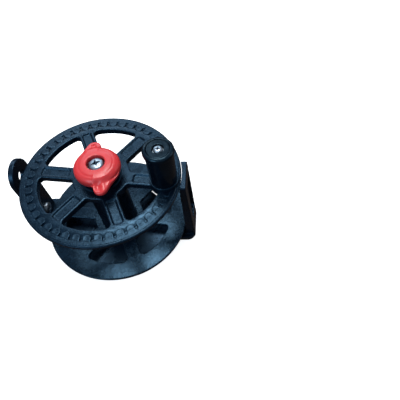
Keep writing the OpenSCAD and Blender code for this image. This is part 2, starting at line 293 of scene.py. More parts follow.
def soft_red():
    material, shader, place = finish_named("soft red plastic", {
        "IOR": 1.48, "Specular IOR Level": 0.5, "Subsurface Weight": 0.12,
        "Subsurface Scale": 0.0012, "Subsurface Radius": (1.0, 0.25, 0.2)})
    clouds = place.noise(9, 3, 0.5)
    grain = place.noise(0.5, 3, 0.6)
    scratches = place.stretched(0.15, 1, 1).noise(0.4, 3, 0.6).between(0.64, 0.72)
    tone = clouds * 0.8 + scratches * 0.3
    rough = 0.27 + 0.10 * (grain - 0.5) + clouds * 0.06 + scratches * 0.12
    skin = (grain + clouds * 2.0).bumps(0.05, 0.35)
    feed(shader, Base_Color=tone.tint((0.66, 0.030, 0.036), (0.80, 0.058, 0.062)),
         Roughness=rough, Normal=skin)
    return material


red_plastic = soft_red()

# %% [markdown]
# ## Metals and felt
# The screws, nuts and washers are zinc plated: pale, a little blue, with a cloudy shine. The
# spindle and the pressure washer are turned, so they carry fine rings. The bushes are
# bronze, the knob's insert is brass, the springs are dark, and the felt is a mat of fibres.

# %% Metals and felt


def metal(name, dark, light, gloss, rings=0.0):
    material, shader, place = finish_named(name, {"Metallic": 1.0})
    clouds = place.noise(2.2, 4, 0.6).between(0.3, 0.72)
    grain = place.noise(0.25, 3, 0.6)
    marks = place.stretched(0.02, 0.02, 1).noise(0.22, 2, 0.7)
    rough = gloss + clouds * 0.12 + 0.14 * (grain - 0.5) + marks * rings * 0.2
    skin = (grain * 0.5 + marks * rings).bumps(0.02, 0.6)
    feed(shader, Base_Color=(clouds * 0.7 + grain * 0.3).tint(dark, light),
         Roughness=rough, Normal=skin)
    return material


def felt_mat():
    material, shader, place = finish_named("pressed felt", {
        "Specular IOR Level": 0.15, "Sheen Weight": 0.4, "Sheen Roughness": 0.6})
    fibres = place.noise(0.3, 5, 0.75, 0.8)
    tufts = place.noise(1.4, 3, 0.6)
    feed(shader, Base_Color=(fibres * 0.6 + tufts * 0.4).tint((0.16, 0.12, 0.08), (0.50, 0.42, 0.30)),
         Roughness=0.85 + 0.15 * fibres, Normal=(fibres + tufts).bumps(0.12, 0.9))
    return material


zinc_steel = metal("zinc-plated steel", (0.19, 0.24, 0.29), (0.40, 0.46, 0.53), 0.30)
turned_steel = metal("turned steel", (0.40, 0.42, 0.45), (0.66, 0.68, 0.71), 0.20, 1.0)
spring_steel = metal("spring steel", (0.10, 0.11, 0.13), (0.24, 0.25, 0.28), 0.30)
bronze = metal("sintered bronze", (0.33, 0.19, 0.07), (0.60, 0.38, 0.17), 0.34, 0.4)
brass = metal("brass", (0.55, 0.38, 0.12), (0.82, 0.62, 0.27), 0.22, 0.8)
felt = felt_mat()
finishes = {"black_plastic": black_plastic, "black_wheel": wheel_plastic,
            "grip_plastic": grip_plastic, "red_plastic": red_plastic,
            "zinc_steel": zinc_steel, "spindle_steel": turned_steel,
            "spring_steel": spring_steel, "bronze": bronze, "insert_brass": brass, "felt": felt}
print(len(finishes), "finishes")

# %% [markdown]
# ## Outlines and skins
# Nearly every part of the reel is a plate with rounded edges or a turned body. Both are
# stacks of closed loops: a loop of points, then the same loop a little further in and
# higher, and so on round the edge. Loops with equal numbers of points are joined by quads,
# and a flat face is filled between loops. That gives true rounded edges and clean meshes,
# where a bevel after a boolean would leave slivers.

# %% Outlines


def arc(cx, cy, r, start, end, steps):
    """Points of an arc in degrees, without its last one, which the next stretch begins with."""
    angles = np.radians(start + (end - start) * np.arange(steps) / steps)
    return np.stack([cx + r * np.cos(angles), cy + r * np.sin(angles)], 1)


def circle(r, steps=96, cx=0.0, cy=0.0, start=0.0):
    return arc(cx, cy, r, start, start + 360, steps)


def softened(corners, steps=4, closed=True):
    """A polyline through corners (x, y, radius), with each corner rounded to its radius."""
    xy = np.array([c[:2] for c in corners], float)
    out = []
    for i, (x, y, r) in enumerate(corners):
        here = xy[i]
        if r == 0 or (not closed and i in (0, len(corners) - 1)):
            out.append(here)
            continue
        a, b = xy[i - 1] - here, xy[(i + 1) % len(xy)] - here
        a, b = a / np.linalg.norm(a), b / np.linalg.norm(b)
        half = math.acos(np.clip(a @ b, -1, 1)) / 2
        middle = here + (a + b) / np.linalg.norm(a + b) * r / math.sin(half)
        first, last = here + a * r / math.tan(half), here + b * r / math.tan(half)
        u, v = first - middle, last - middle
        for k in range(steps + 1):
            w = u + (v - u) * k / steps
            out.append(middle + w * r / np.linalg.norm(w))
    return np.array(out)


def inset(outline, distance):
    """An outline moved to its left, which is inward for one that runs anticlockwise."""
    ahead = np.roll(outline, -1, 0) - outline
    ahead /= np.linalg.norm(ahead, axis=1)[:, None]
    after = np.stack([-ahead[:, 1], ahead[:, 0]], 1)
    middle = after + np.roll(after, 1, 0)
    middle /= np.linalg.norm(middle, axis=1)[:, None]
    reach = distance / np.clip((middle * after).sum(1), 0.5, None)
    return outline + middle * reach[:, None]


def lifted(outline, z):
    heights = np.broadcast_to(z, len(outline))
    return np.column_stack([outline, heights])


# %% Skins


class Skin:
    """The closed surface of one piece, gathered loop by loop in millimetres."""

    def __init__(self):
        self.points, self.faces = [], []

    def loop(self, ring):
        first = len(self.points)
        self.points.extend(map(tuple, np.asarray(ring, float)))
        return list(range(first, len(self.points)))

    def stack(self, rings, closed=False):
        loops = [self.loop(ring) for ring in rings]
        for a, b in zip(loops, loops[1:] + (loops[:1] if closed else [])):
            self.faces += [(i, j, m, k) for i, j, k, m in
                           zip(a, a[1:] + a[:1], b, b[1:] + b[:1])]
        return loops[0], loops[-1]

    def fill(self, *loops):
        """Fills the flat area inside the first loop and outside the others."""
        flat = [[Vector(self.points[i]) for i in loop] for loop in loops]
        order = [i for loop in loops for i in loop]
        self.faces += [tuple(order[k] for k in three) for three in tessellate_polygon(flat)]

    def moved(self, matrix):
        self.points = [tuple(matrix @ Vector(p)) for p in self.points]
        return self

    def joined(self, other):
        first = len(self.points)
        self.points += other.points
        self.faces += [tuple(i + first for i in face) for face in other.faces]
        return self

    def thing(self, name):
        """A mesh object of the skin, in metres, with its faces turned outward."""
        mesh = bmesh.new()
        points = [mesh.verts.new(Vector(p) * MM) for p in self.points]
        for face in self.faces:
            if len(set(face)) == len(face):
                mesh.faces.new([points[i] for i in face])
        bmesh.ops.remove_doubles(mesh, verts=mesh.verts, dist=2e-7)
        bmesh.ops.dissolve_degenerate(mesh, edges=mesh.edges, dist=1e-7)
        bmesh.ops.recalc_face_normals(mesh, faces=mesh.faces)
        data = bpy.data.meshes.new(name)
        mesh.to_mesh(data)
        mesh.free()
        thing = bpy.data.objects.new(name, data)
        bpy.context.scene.collection.objects.link(thing)
        return thing


def slab(outlines, low, high, round_low=0.4, round_high=0.4, steps=3):
    """A plate between two levels: the first outline is its outside, the others are holes."""
    skin, bottoms, tops = Skin(), [], []
    for k, outline in enumerate(outlines):
        side = 1 if k == 0 else -1
        turn = [math.pi / 2 * j / steps for j in range(steps + 1)]
        rings = [lifted(inset(outline, side * round_low * (1 - math.sin(a))),
                        low + round_low * (1 - math.cos(a))) for a in turn]
        rings += [lifted(inset(outline, side * round_high * (1 - math.cos(a))),
                         high - round_high * (1 - math.sin(a))) for a in turn]
        first, last = skin.stack(rings)
        bottoms.append(first)
        tops.append(last)
    skin.fill(*bottoms)
    skin.fill(*tops)
    return skin


def turned(profile, steps=96, start=0.0, closed=True):
    """A body turned about the Z axis from a profile of (radius, height) points."""
    skin = Skin()
    skin.stack([lifted(circle(max(r, 0), steps, start=start), z) for r, z in profile], closed)
    return skin


def applied(thing):
    """Turns a piece's modifiers into its mesh."""
    bpy.context.view_layer.update()
    shape = thing.evaluated_get(bpy.context.evaluated_depsgraph_get())
    mesh = bpy.data.meshes.new_from_object(shape)
    thing.modifiers.clear()
    old, thing.data = thing.data, mesh
    bpy.data.meshes.remove(old)
    return thing


def carved(thing, tool, operation="DIFFERENCE"):
    """Cuts a tool out of a piece, or joins it on, and drops the tool."""
    cut = thing.modifiers.new("cut", "BOOLEAN")
    cut.object, cut.operation, cut.solver = tool, operation, "EXACT"
    applied(thing)
    bpy.data.objects.remove(tool)
    return thing


# %% [markdown]
# ## Handing a piece to the frame
# A finished piece is shaded smooth with its normals weighted by face size, so flat faces
# stay flat up to their rounded edges. Then it takes its finish, stands for its CAD node and
# rides on that node's body.

# %% Fitting a piece

def fitted(thing, node, slot, split=40):
    thing.data.materials.clear()
    thing.data.materials.append(finishes[slot])
    thing.data.shade_smooth()
    thing.data.set_sharp_from_angle(angle=math.radians(split))
    weigh = thing.modifiers.new("normals", "WEIGHTED_NORMAL")
    weigh.keep_sharp = True
    applied(thing)
    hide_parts(node)
    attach(thing, frame["nodes"][node]["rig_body"])
    print(f"{thing.name}: {len(thing.data.polygons)} faces")
    return thing


# %% [markdown]
# ## Crank wheel
# The wheel is one moulding: an outer rim with a band of teeth for the fingers, a ring, six
# channelled spokes and a hub. It could be cut from a disc with booleans, but the teeth are
# what catches the light, so the wheel is built as one net of loops instead: each window,
# each spoke channel and each tooth has its own loops, and the flat top is filled between.

# %% Windows between the spokes
spoke_az, spoke_step = -5.5, 60.0
hub_edge, ring_edge, spoke_width = 17.2, 37.2, 9.0
bolt_at, bolt_az = 9.3, spoke_az + 60


def window(r_in, r_out, width, corner, azimuth):
    """Outline of one window: two spoke edges, the ring and the hub, with rounded corners."""
    off = width / 2 + corner
    far = math.degrees(math.asin(off / (r_out - corner)))
    near = math.degrees(math.asin(off / (r_in + corner)))
    gap = spoke_step / 2

    def corner_at(r, angle, start, end):
        a = math.radians(angle)
        return arc(r * math.cos(a), r * math.sin(a), corner, start, end, 6)

    parts = [corner_at(r_out - corner, far - gap, -gap - 90, far - gap),
             arc(0, 0, r_out, far - gap, gap - far, 24),
             corner_at(r_out - corner, gap - far, gap - far, gap + 90),
             corner_at(r_in + corner, gap - near, gap + 90, 180 + gap - near),
             arc(0, 0, r_in, gap - near, near - gap, 6),
             corner_at(r_in + corner, near - gap, 180 + near - gap, 270 - gap)]
    outline = np.concatenate(parts)
    turn = math.radians(azimuth + gap)
    spin = np.array([[math.cos(turn), math.sin(turn)], [-math.sin(turn), math.cos(turn)]])
    return outline @ spin


def around(outline, degrees):
    turn = math.radians(degrees)
    c, s = math.cos(turn), math.sin(turn)
    outline = np.array(outline, float)
    outline[:, :2] = outline[:, :2] @ np.array([[c, s], [-s, c]])
    return outline


# %% Teeth of the finger band
teeth = 44
band_in, band_out = 39.3, 44.75
tooth_in, tooth_out = 39.9, 44.2


def valley(r):
    """Height of the ground between the teeth: it falls away outward, then climbs quickly."""
    fall = np.interp(r, [39.55, 43.5, 44.3], [0.0, -1.15, 0.0])
    return wheel_top + fall


def tooth_rings():
    """Loops of one tooth's sector, from its border to the flat on top of the tooth."""
    half = 180 / teeth
    sides = np.array([band_out, 44.2, 43.5, 42.7, 41.8, 40.7])
    edge = math.radians(half)
    down = np.stack([sides * math.cos(edge), sides * math.sin(edge)], 1)
    rise = np.append(sides[1:], band_in)[::-1]
    climb = np.stack([rise * math.cos(edge), -rise * math.sin(edge)], 1)
    border = np.concatenate([arc(0, 0, band_out, -half, half, 8), down,
                             arc(0, 0, band_in, half, -half, 8), climb])
    w, centre = 2.4, tooth_in + 2.4

    def arch(d):
        """Outline of the tooth, drawn in by d: a flat outer end, two sides and a round end."""
        side, end = w - d, tooth_out - d
        outer = np.stack([np.full(8, end), side * np.linspace(-1, 0.75, 8)], 1)
        inward = end + (centre - end) * np.arange(6) / 6
        outward = centre + (end - centre) * np.arange(6) / 6
        return np.concatenate([outer, np.stack([inward, np.full(6, side)], 1),
                               arc(centre, 0, side, 90, 270, 8),
                               np.stack([outward, np.full(6, -side)], 1)])

    def ground(ring):
        return lifted(ring, valley(np.linalg.norm(ring, axis=1)))

    foot = arch(-0.12)
    skirt = ground(arch(0))
    skirt[:, 2] += 0.12
    rings = [ground(border), ground((border + foot) / 2), ground(foot), skirt]
    for sink, step in ((0.16, 0.08), (0.05, 0.2), (0.0, 0.38)):
        ring = lifted(arch(step), wheel_top + 0.12 - sink)
        ring[:, 2] = np.maximum(ring[:, 2], skirt[:, 2] + 0.01)
        rings.append(ring)
    rings.append(lifted(arch(0.95), wheel_top + 0.04))
    return rings


# %% The wheel's skin
band_turn = 360 / teeth
ring_steps = teeth * 8
rim = softened([(band_out, wheel_top, 0), (46.35, wheel_top, 0.15), (46.6, wheel_top - 0.3, 0.12),
                (47.1, wheel_top - 0.28, 0.15), (rim_r, wheel_top - 0.6, 0.5),
                (rim_r, wheel_low + 1.25, 0.55), (40.2, wheel_low + 1.2, 0.6),
                (39.35, wheel_low, 0.3), (38.9, wheel_low, 0)], 4, closed=False)
wheel = Skin()
for k in range(teeth):
    rings = [around(ring, spoke_az + band_turn * (k + 0.5)) for ring in tooth_rings()]
    wheel.fill(wheel.stack(rings)[1])
first, under = wheel.stack([lifted(circle(r, ring_steps, start=spoke_az), z) for r, z in rim])
inner_ring = wheel.loop(lifted(circle(band_in, ring_steps, start=spoke_az), wheel_top))
top_holes, low_holes, lip = [], [], 0.75
for k in range(6):
    at = spoke_az + spoke_step * k
    rings = []
    for a in np.radians([90, 67.5, 45, 22.5, 0]):
        grow = lip * (1 - math.cos(a))
        rings.append(lifted(window(hub_edge - grow, ring_edge + grow, spoke_width - 2 * grow, 2.5 + grow, at),
                            wheel_top - lip + lip * math.sin(a)))
    for a in np.radians([0, 45, 90]):
        grow = 0.35 * (1 - math.cos(a))
        rings.append(lifted(window(hub_edge - grow, ring_edge + grow, spoke_width - 2 * grow, 2.5 + grow, at),
                            wheel_low + 0.35 - 0.35 * math.sin(a)))
    high, low = wheel.stack(rings)
    top_holes.append(high)
    low_holes.append(low)
    channel = softened([(19.4, -2.9, 1.4), (36.6, -2.9, 1.4), (36.6, 2.9, 1.4), (19.4, 2.9, 1.4)], 5)
    channel = around(channel, at)
    steps = [(-0.45, 0), (-0.28, -0.04), (-0.1, -0.16), (0.1, -0.42), (0.35, -0.78), (0.6, -0.96), (0.9, -1)]
    high, low = wheel.stack([lifted(inset(channel, i), wheel_top + z) for i, z in steps])
    top_holes.append(high)
    wheel.fill(low)
hub = [(13.1, 0), (12.55, 0.06), (12.15, 0.2), (11.85, 0.4), (11.55, 0.48), (11.1, 0.5)]
outer_hub, inner_hub = wheel.stack([lifted(circle(r, 96), wheel_top + z) for r, z in hub])
bore = [(5.7, wheel_top + 0.5), (5.5, wheel_top + 0.3), (5.5, wheel_low + 0.2), (5.7, wheel_low)]
bore_high, bore_low = wheel.stack([lifted(circle(r, 96), z) for r, z in bore])
wheel.fill(inner_hub, bore_high)
wheel.fill(inner_ring, outer_hub, *top_holes)
wheel.fill(under, bore_low, *low_holes)
crank_wheel = wheel.thing("crank_wheel_moulding")

# %% [markdown]
# ### Grip seat
# The grip stands on a round seat that is moulded over the rim and the end of a spoke. It is
# joined on as a solid, with the hole for its screw and the pocket for the nut below.

# %% Grip seat and screw holes
seat_level = wheel_low + 0.43
seat = turned(softened([(0, seat_level, 0), (8.9, seat_level, 0.4), (8.9, seat_high - 0.1, 0.5),
                        (0, seat_high, 0)], 5, closed=False), 80)
seat.moved(Matrix.Translation((grip_x, grip_y, 0)))
carved(crank_wheel, seat.thing("seat"), "UNION")
for k in range(3):
    spot = around([[bolt_at, 0, 0]], bolt_az + 120 * k)[0]
    bore_tool = turned([(0, 50), (1.6, 50), (1.6, wheel_top - 1.5), (3.1, wheel_top - 1.5),
                        (3.1, 63), (0, 63)], 40)
    carved(crank_wheel, bore_tool.moved(Matrix.Translation(spot)).thing("tool"))
nut_hole = turned([(0, 40), (1.55, 40), (1.55, 70), (0, 70)], 32)
carved(crank_wheel, nut_hole.moved(Matrix.Translation((grip_x, grip_y, 0))).thing("tool"))
nut_pocket = turned([(0, 50), (3.29, 50), (3.29, wheel_low + 3.8), (0, wheel_low + 3.8)], 6)
carved(crank_wheel, nut_pocket.moved(Matrix.Translation((grip_x, grip_y, 0))).thing("tool"))
fitted(crank_wheel, "crank_wheel", "black_wheel")

# %% [markdown]
# ## Lower flange
# The lower flange is a thin plate with six windows. Its edges were rounded in the mould, and
# those rounded edges are the only bright lines that it shows.

# %% Lower flange
plates = [circle(rim_r, 192)] + [window(17, 36.5, 9, 2.5, spoke_az + spoke_step * k) for k in range(6)]
plates += [circle(5.5, 64)]
plates += [circle(1.6, 24, *around([[bolt_at, 0]], bolt_az + 120 * k)[0]) for k in range(3)]
lower_flange = slab(plates, flange_low, flange_high, 0.45, 0.7, 4).thing("lower_flange_moulding")
fitted(lower_flange, "lower_flange", "black_wheel")

# %% [markdown]
# ## Drum
# The line is wound on the drum. It flares a little where it meets both flanges, and the end
# of the line is tied through a cross hole.

# %% Drum
drum = turned(softened([(5.5, drum_low, 0.2), (drum_r, drum_low, 0.1), (drum_r, drum_low + 0.6, 0.3),
                        (drum_r - 0.5, drum_low + 1.8, 0.8), (drum_r - 0.5, drum_high - 1.8, 0.8),
                        (drum_r, drum_high - 0.6, 0.3), (drum_r, drum_high, 0.1),
                        (5.5, drum_high, 0.2)], 4), 96).thing("drum_moulding")
tie = turned([(0, -30), (1, -30), (1, 30), (0, 30)], 24)
tie.moved(Matrix.Rotation(math.radians(spoke_az + 30), 4, "Z")
          @ Matrix.Translation((drum_r - 4, 0, drum_low + 14))
          @ Matrix.Rotation(math.pi / 2, 4, "X"))
carved(drum, tie.thing("tool"))
fitted(drum, "drum", "black_plastic")

# %% [markdown]
# ## Frame
# The frame is one moulding too: base, boss, wall and tab. Its shape in the CAD model is
# right, so the piece starts from that solid. What CAD leaves out is the small radius that
# every mould has along its edges, which is what catches the light.

# %% Frame


def eased(node, width, tight_r, steps=3, angle=35):
    """A copy of a CAD node with its sharp edges rounded, but crisp where it hugs the wheel."""
    thing = bpy.data.objects.new(node + "_moulding", frame["nodes"][node].data.copy())
    bpy.context.scene.collection.objects.link(thing)
    mesh = bmesh.new()
    mesh.from_mesh(thing.data)
    bmesh.ops.remove_doubles(mesh, verts=mesh.verts, dist=2e-6)
    bmesh.ops.dissolve_limit(mesh, angle_limit=math.radians(0.5), verts=mesh.verts, edges=mesh.edges)
    weights = mesh.edges.layers.float.new("bevel_weight_edge")
    for edge in mesh.edges:
        turn = edge.calc_face_angle(0)
        tight = all(math.hypot(*v.co.xy) < tight_r * MM and v.co.x > 0.04 for v in edge.verts)
        edge[weights] = float(turn > math.radians(angle)) * (0.15 if tight else 1)
    mesh.to_mesh(thing.data)
    mesh.free()
    thing.data.normals_split_custom_set_from_vertices([(0, 0, 0)] * len(thing.data.vertices))
    ease = thing.modifiers.new("ease", "BEVEL")
    ease.width, ease.segments = width * MM, steps
    ease.limit_method = "WEIGHT"
    ease.use_clamp_overlap = False
    ease.miter_outer = "MITER_ARC"
    ends = [[op(v.co[axis] for v in thing.data.vertices) for op in (min, max)] for axis in range(3)]
    applied(thing)
    # Where rounded edges meet at a corner they can swell past it, so hold them to the solid's box.
    for v in thing.data.vertices:
        v.co = [min(max(at, low), high) for at, (low, high) in zip(v.co, ends)]
    return thing


fitted(eased("frame", 0.45, rim_r + 0.5), "frame", "black_plastic")

# %% [markdown]
# ## Guide arm
# The arm is a flat bar with a rounded top, screwed to the frame's tab. The line runs through
# its eye, whose edge is rounded as much as the outside.

# %% Guide arm
eye_z = arm_top - arm_r
arm_screw_z = 13.5
bar = np.concatenate([[[arm_y - arm_r, arm_foot], [arm_y + arm_r, arm_foot]],
                      arc(arm_y, eye_z, arm_r, 0, 180, 48), [[arm_y - arm_r, eye_z]]])
bar = np.concatenate([softened([(arm_y - arm_r, arm_foot, 0.8), (arm_y + arm_r, arm_foot, 0.8)]
                               + [(x, z, 0) for x, z in bar[2:]], 4)])
arm = slab([bar, circle(3.5, 64, arm_y, eye_z), circle(2.1, 40, arm_y, arm_screw_z)],
           arm_outer, arm_inner, 0.6, 0.6, 5)
stand = Matrix(((0, 0, 1, 0), (1, 0, 0, 0), (0, 1, 0, 0), (0, 0, 0, 1)))
fitted(arm.moved(stand).thing("guide_arm_moulding"), "guide_arm", "black_plastic")

# %% [markdown]
# ## Screws, nuts and washers
# All the screws are pan heads with a cross recess. A head is turned from its profile, and
# the recess is a tapered cross cut into it. Where a screw's end shows, its thread is a row
# of fine ridges.

# %% Screws


def ridges(r, low, high, pitch=0.5, depth=0.28):
    """Profile points of a threaded stretch, going up."""
    count = max(int((high - low) / pitch), 1)
    step = (high - low) / count
    points = []
    for k in range(count):
        points += [(r - depth, low + k * step), (r, low + (k + 0.4) * step),
                   (r, low + (k + 0.6) * step)]
    return points


def pan_screw(name, shank, head, height, length, place):
    skin = turned([(0, -length), (shank - 0.35, -length)]
                  + ridges(shank, -length + 0.2, -0.4)
                  + [(shank, -0.2), (shank, 0), (head - 0.15, 0), (head, 0.15)]
                  + [(head * max(math.cos(a), 0) ** 0.7, height * (0.42 + 0.58 * math.sin(a) ** 0.8))
                     for a in np.radians(np.linspace(0, 90, 12))], 64, closed=False)
    screw = skin.moved(place).thing(name)
    wide, thin = head * 0.56, head * 0.13
    cross = []
    for k in range(4):
        cross += [around([[wide, -thin * 0.55]], 90 * k)[0], around([[wide, thin * 0.55]], 90 * k)[0],
                  around([[thin * 1.25, thin * 1.25]], 90 * k)[0]]
    cross = np.array(cross)
    tool = Skin()
    low, high = tool.stack([lifted(cross * 0.55, height * 0.12), lifted(cross * 1.0, height * 1.0),
                            lifted(cross * 1.1, height * 1.3)])
    tool.fill(low)
    tool.fill(high)
    return carved(screw, tool.moved(place).thing("tool"))


knob_head_h, grip_head_h = 3.2, 1.9
knob_screw_z = span("knob_screw", 2)[1] - knob_head_h
fitted(pan_screw("knob_screw_head", 2.5, 4.6, knob_head_h, 12,
                 Matrix.Translation((0, 0, knob_screw_z))
                 @ Matrix.Rotation(math.radians(28), 4, "Z")), "knob_screw", "zinc_steel")
grip_screw_z = span("grip_screw", 2)[1] - grip_head_h
fitted(pan_screw("grip_screw_head", 1.5, 2.6, grip_head_h, grip_screw_z - span("grip_screw", 2)[0],
                 Matrix.Translation((grip_x, grip_y, grip_screw_z))
                 @ Matrix.Rotation(math.radians(-4), 4, "Z")), "grip_screw", "zinc_steel")
arm_screw_low = span("guide_arm_screw", 0)[0]
sideways = Matrix.Rotation(math.pi / 2, 4, "Y")
fitted(pan_screw("guide_arm_screw_head", 2.0, 3.9, 2.6, arm_inner - arm_screw_low,
                 Matrix.Translation((arm_inner, arm_y, arm_screw_z)) @ sideways
                 @ Matrix.Rotation(math.radians(20), 4, "Z")), "guide_arm_screw", "zinc_steel")

# %% Screws of the spool, three to a flange


def trio(name, node, shank, head, height, length, z, flip):
    whole = None
    for k in range(3):
        spot = around([[bolt_at, 0]], bolt_az + 120 * k)[0]
        place = Matrix.Translation((spot[0], spot[1], z))
        if flip:
            place = place @ Matrix.Rotation(math.pi, 4, "X")
        one = pan_screw(name, shank, head, height, length, place)
        if whole is None:
            whole = one
        else:
            carved(whole, one, "UNION")
    fitted(whole, node, "zinc_steel")


trio("flange_screw_heads", "flange_screws", 1.3, 2.4, 1.0, 9, flange_low, True)
trio("wheel_screw_heads", "wheel_screws", 1.3, 2.9, 1.8, 9, wheel_top - 1.5, False)

# %% Nuts


def nut(name, node, across, thread, low, high, place):
    """A hexagon nut with both faces turned down at the corners."""
    corner = across / 2 / math.cos(math.pi / 6)
    skin = turned([(thread, low + 0.3), (thread + 0.35, low), (corner * 1.01, low), (corner * 1.01, high),
                   (thread + 0.35, high), (thread, high - 0.3)], 6)
    hexagon = skin.moved(Matrix.Identity(4)).thing(name)
    ease = turned([(0, low - 1), (across * 0.46, low - 1), (across * 0.46, low), (corner, low + 0.5),
                   (corner, high - 0.5), (across * 0.46, high), (across * 0.46, high + 1),
                   (0, high + 1)], 64, closed=False)
    carved(hexagon, ease.thing("tool"), "INTERSECT")
    hexagon.data.transform(Matrix.Translation(Vector(place.to_translation()) * MM)
                           @ place.to_3x3().to_4x4())
    fitted(hexagon, node, "zinc_steel")


nut("spindle_nut_hexagon", "spindle_nut", 13, 4.0, *span("spindle_nut", 2), Matrix.Identity(4))
nut("grip_nut_hexagon", "grip_nut", 5.5, 1.5, *span("grip_nut", 2),
    Matrix.Translation((grip_x, grip_y, 0)))
nut("guide_arm_nut_hexagon", "guide_arm_nut", 7, 2.0, *span("guide_arm_nut", 0),
    Matrix.Translation((0, arm_y, arm_screw_z)) @ sideways)

# %% [markdown]
# ## Spindle and drag stack
# A steel spindle with a collar is clamped through the base. Above the wheel's hub come the
# felt, a steel washer and two cupped springs, which the knob squeezes.

# %% Turned pieces


def ring_piece(name, node, slot, r_in, r_out, low, high, ease=0.15, steps=80, at=(0, 0)):
    profile = softened([(r_in, low, ease), (r_out, low, ease), (r_out, high, ease),
                        (r_in, high, ease)], 3)
    skin = turned(profile, steps).moved(Matrix.Translation((*at, 0)))
    return fitted(skin.thing(name), node, slot)


spindle_bore = 4.06
spindle_low, spindle_high = span("spindle", 2)
collar = drum_low - 3.5
spindle = turned(softened([(0, spindle_low, 0), (3.5, spindle_low, 0),
                           (4, spindle_low + 0.5, 0)], 1, False).tolist()
                 + ridges(4, spindle_low + 0.6, 5.2, 0.6, 0.35)
                 + [(4, 5.4), (4, 7.5), (7.3, 7.5), (7.5, 7.7), (7.5, collar - 0.2), (7.3, collar),
                    (4.0, collar), (4, spindle_high - 0.5), (3.5, spindle_high),
                    (2.5, spindle_high), (2.5, spindle_high - 14), (0, spindle_high - 14)],
                 80, closed=False)
fitted(spindle.thing("spindle_turning"), "spindle", "spindle_steel")
ring_piece("spindle_washer_ring", "spindle_washer", "zinc_steel", 4, 6.4, *span("spindle_washer", 2))
ring_piece("pressure_washer_ring", "pressure_washer", "spindle_steel", 4, 8.2, *span("pressure_washer", 2))
ring_piece("knob_screw_washer_ring", "knob_screw_washer", "zinc_steel", 2.5, 5.0,
           *span("knob_screw_washer", 2))
ring_piece("knob_insert_ring", "knob_insert", "insert_brass", spindle_bore, 6.2, *span("knob_insert", 2))
ring_piece("friction_felt", "friction_washer", "felt", 4.4, 6.1, *span("friction_washer", 2), 0.25)
ring_piece("upper_bush_ring", "upper_bush", "bronze", spindle_bore, 5.5, *span("upper_bush", 2), 0.25)
ring_piece("grip_washer_ring", "grip_washer", "zinc_steel", 1.5, 3.1, *span("grip_washer", 2),
           at=(grip_x, grip_y))
bush_low, bush_high = span("lower_bush", 2)
bush = turned(softened([(spindle_bore, bush_low, 0.3), (6.6, bush_low, 0.2), (6.6, bush_low + 1.2, 0.2),
                        (5.5, bush_low + 1.2, 0.1), (5.5, bush_high, 0.25),
                        (spindle_bore, bush_high, 0.3)], 3))
fitted(bush.thing("lower_bush_turning"), "lower_bush", "bronze")
spring_low, spring_high = span("drag_springs", 2)
middle = (spring_low + spring_high) / 2
cups = Skin()
for side in (-1, 1):
    edge = middle + side * 0.02
    cups.joined(turned(softened([(4.2, edge + side * 0.6, 0.08), (8.2, edge, 0.08),
                                 (8.2, edge + side * 0.48, 0.08),
                                 (4.2, edge + side * 1.08, 0.08)], 2)))
fitted(cups.thing("drag_spring_cups"), "drag_springs", "spring_steel")

# %% [markdown]
# ## Grip
# The grip is a polished sleeve with a rounded lip. A flanged bush holds it, and the bush's
# flange sits in the grip's mouth with a dark gap round it. Three small pips on the flange
# are left by the mould.

# %% Grip and its bush
bush_flange_r, bush_gap_r = 6.4, 3.26
mouth = bush_flange_r + 0.3
floor_level = grip_high - 4.4
bead_r, bead = grip_r, 1.8
shaft_r = bead_r - 0.8
sleeve = turned(softened([(bush_gap_r, grip_low, 0.2), (shaft_r - 0.25, grip_low, 0.35),
                          (shaft_r, grip_low + 1.2, 0.5), (shaft_r, grip_high - 2 * bead - 0.4, 0.5),
                          (bead_r, grip_high - 1.6 * bead, 0.8), (bead_r, grip_high - 0.5, 1.5),
                          (bead_r - 1.6, grip_high, 0.3), (mouth, grip_high, 0.25),
                          (mouth, floor_level, 0.2), (bush_gap_r, floor_level, 0.2)], 6), 128)
fitted(sleeve.moved(Matrix.Translation((grip_x, grip_y, 0))).thing("grip_sleeve"),
       "grip", "grip_plastic")
bush_foot, bush_top = span("grip_bush", 2)
post = turned(softened([(1.55, bush_foot, 0.1), (3.2, bush_foot, 0.15), (3.2, bush_top - 3.85, 0.2),
                        (bush_flange_r, bush_top - 3.85, 0.2), (bush_flange_r, bush_top, 0.35),
                        (3.3, bush_top, 0.3),
                        (3.3, bush_top - 2.25, 0.1), (1.55, bush_top - 2.25, 0.1)], 4), 96)
for k in range(3):
    spot = around([[4.95, 0]], 97 + 120 * k)[0]
    pip = turned([(0, bush_top - 0.5), (0.62, bush_top - 0.5), (0.62, bush_top + 0.02),
                  (0.5, bush_top + 0.12),
                  (0.34, bush_top + 0.12), (0.26, bush_top + 0.02), (0, bush_top)], 24, closed=False)
    post.joined(pip.moved(Matrix.Translation((*spot, 0))))
fitted(post.moved(Matrix.Translation((grip_x, grip_y, 0))).thing("grip_bush_post"),
       "grip_bush", "grip_plastic")

# %% [markdown]
# ## Drag knob
# The knob is a low dome with a pocket for the screw, and two beaks that leave the round body
# along a tangent on one side and with a hollow on the other. A dome with beaks is hard to
# make from a block, but around its axis it is simple: at each angle it has one profile. So
# the knob is a turned body whose profile changes with the angle.

# %% The knob's plan
beak_az, body_r, tip_r = 106.0, 13.5, 19.8


